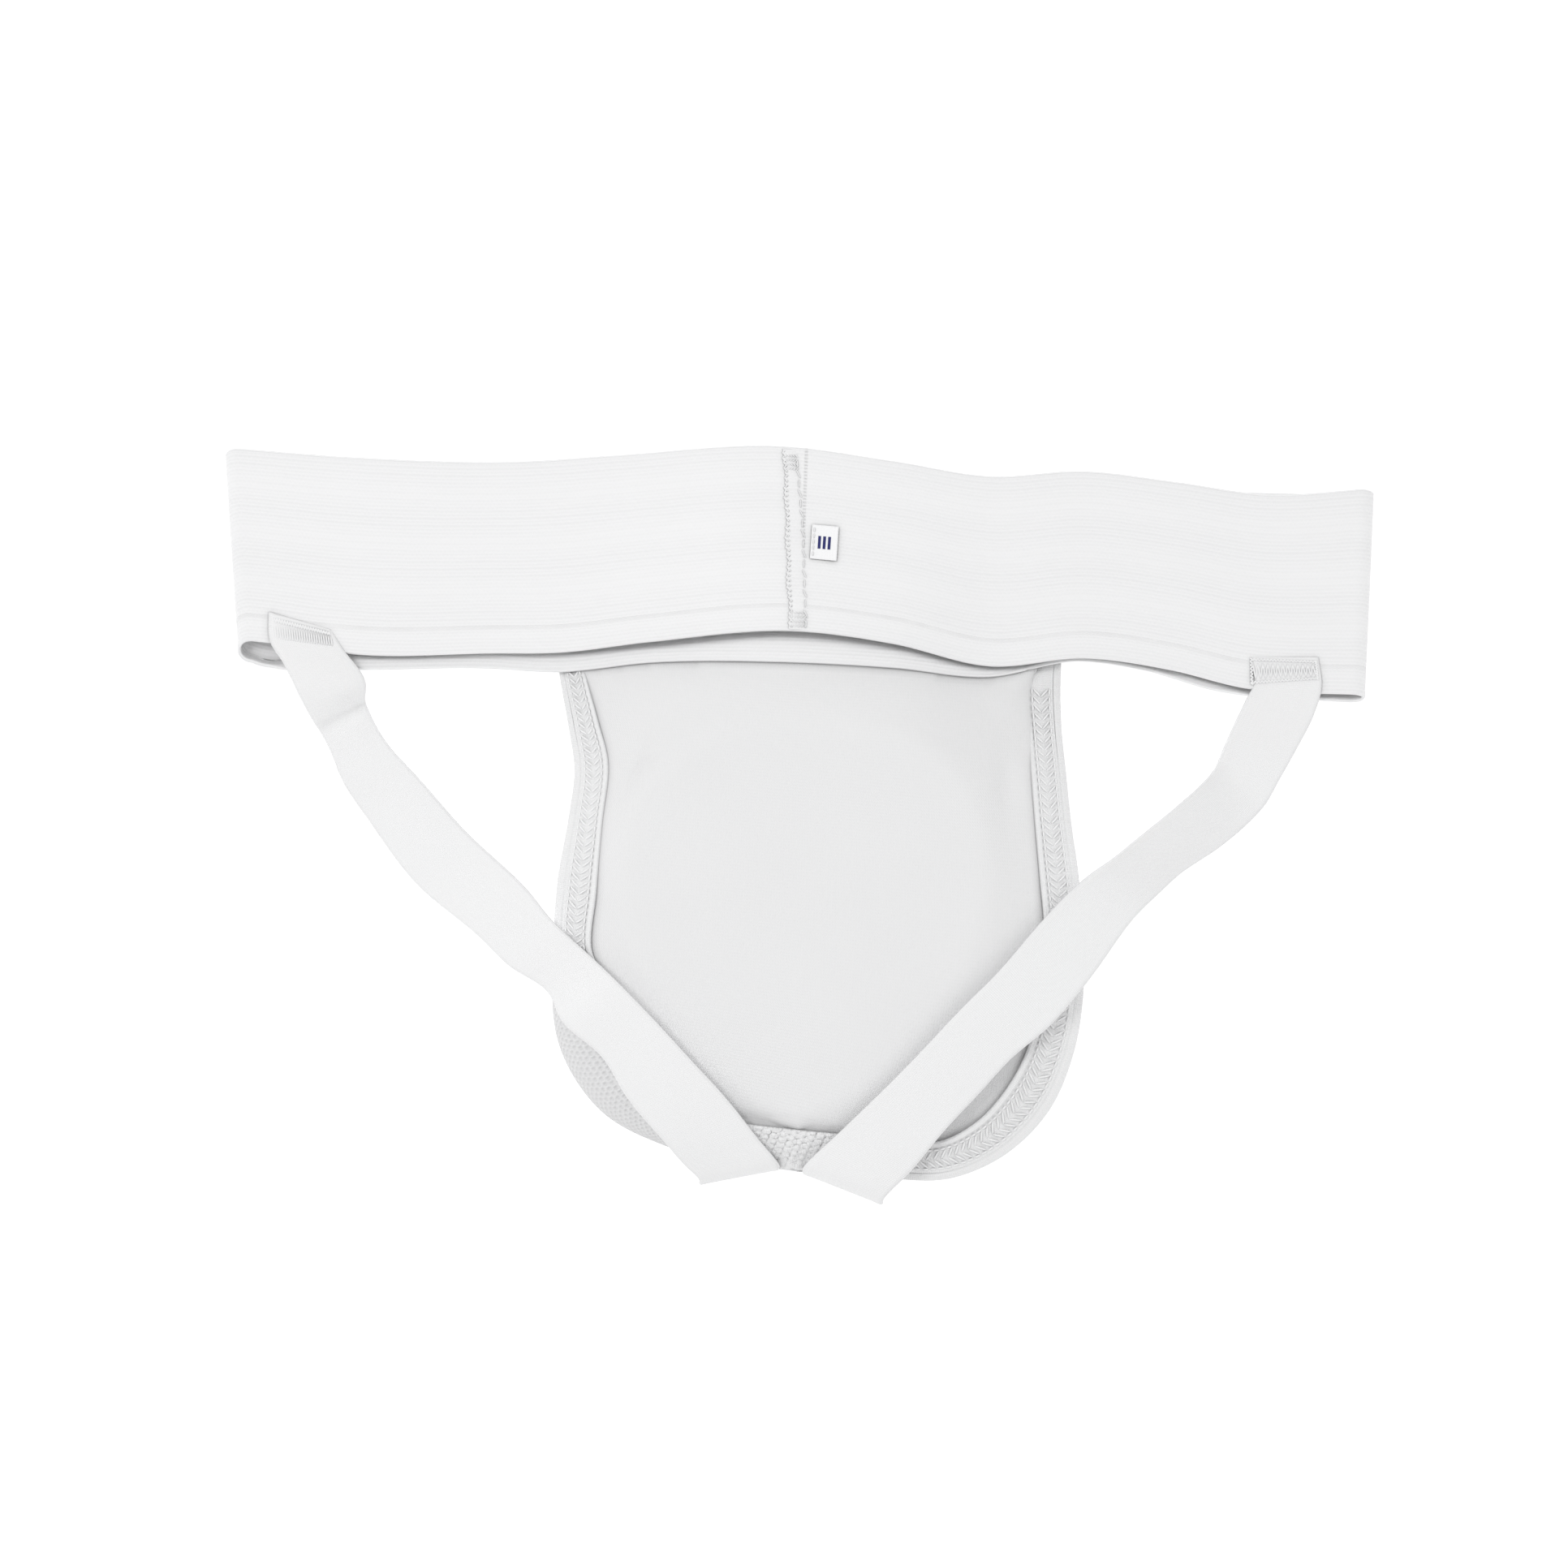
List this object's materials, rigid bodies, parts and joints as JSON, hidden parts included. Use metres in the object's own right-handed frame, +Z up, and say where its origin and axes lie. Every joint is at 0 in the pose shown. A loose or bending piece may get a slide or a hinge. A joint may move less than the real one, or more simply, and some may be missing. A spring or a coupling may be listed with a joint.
{
  "type": "groin protector",
  "caption": "Athletic supporter with a wide elastic waistband, two leg straps and a lined pouch that holds a removable hard cup.",
  "frame": {"origin": "bottom centre of the whole part's box, on the surface it lies on", "axes": "+X along the waistband towards the wearer's right as seen from behind, +Y from the leg end towards the waist end, +Z up, out of the body side"},
  "size_m": [0.394, 0.243, 0.0648],
  "materials": {
    "rib_elastic": "white rib-woven elastic, matt",
    "strap_elastic": "white flat woven elastic webbing, matt",
    "binding_elastic": "white edge elastic with cover stitches",
    "outer_knit": "white pique knit, bumpy",
    "lining_jersey": "off-white fine jersey, smooth",
    "seam_tape": "white woven cotton tape",
    "thread": "white polyester thread",
    "label_tape": "bright white satin label tape",
    "label_print": "navy print",
    "cup_plastic": "white moulded polypropylene, satin",
    "cup_rubber": "pale grey soft rubber edge"
  },
  "bodies": {
    "waistband": {"waistband": "rib_elastic", "back_seam_overlap": "rib_elastic", "back_seam_stitches": "thread", "label_stitches": "thread", "left_leg_strap": "strap_elastic", "right_leg_strap": "strap_elastic", "left_strap_tack": "thread", "right_strap_tack": "thread", "pouch_top_hem": "outer_knit"},
    "label": {"size_label": "label_tape", "size_mark": "label_print"},
    "pouch": {"front_panel_left": "outer_knit", "front_panel_right": "outer_knit", "front_seam_tape": "seam_tape", "pocket_lining": "lining_jersey", "left_binding": "binding_elastic", "right_binding": "binding_elastic", "bottom_tab": "binding_elastic"},
    "cup": {"cup_shell": "cup_plastic", "cup_rim_cushion": "cup_rubber"}
  },
  "joints": [
    {"name": "label_flip", "type": "hinge", "parent": "waistband", "child": "label", "pos_m": [0.0058, 0.09725, 0.0312], "axis": [0, -1, 0], "range_deg": [0, 120]},
    {"name": "pouch_fold", "type": "hinge", "parent": "waistband", "child": "pouch", "pos_m": [0.008, 0.0565, 0.0222], "axis": [-1, 0, 0], "range_deg": [0, 40], "deforming": ["left_leg_strap", "right_leg_strap"]},
    {"name": "cup_slide", "type": "slide", "parent": "pouch", "child": "cup", "axis": [0, 0.5, 0.866], "range_m": [0, 0.12], "deforming": ["pocket_lining"]}
  ]
}
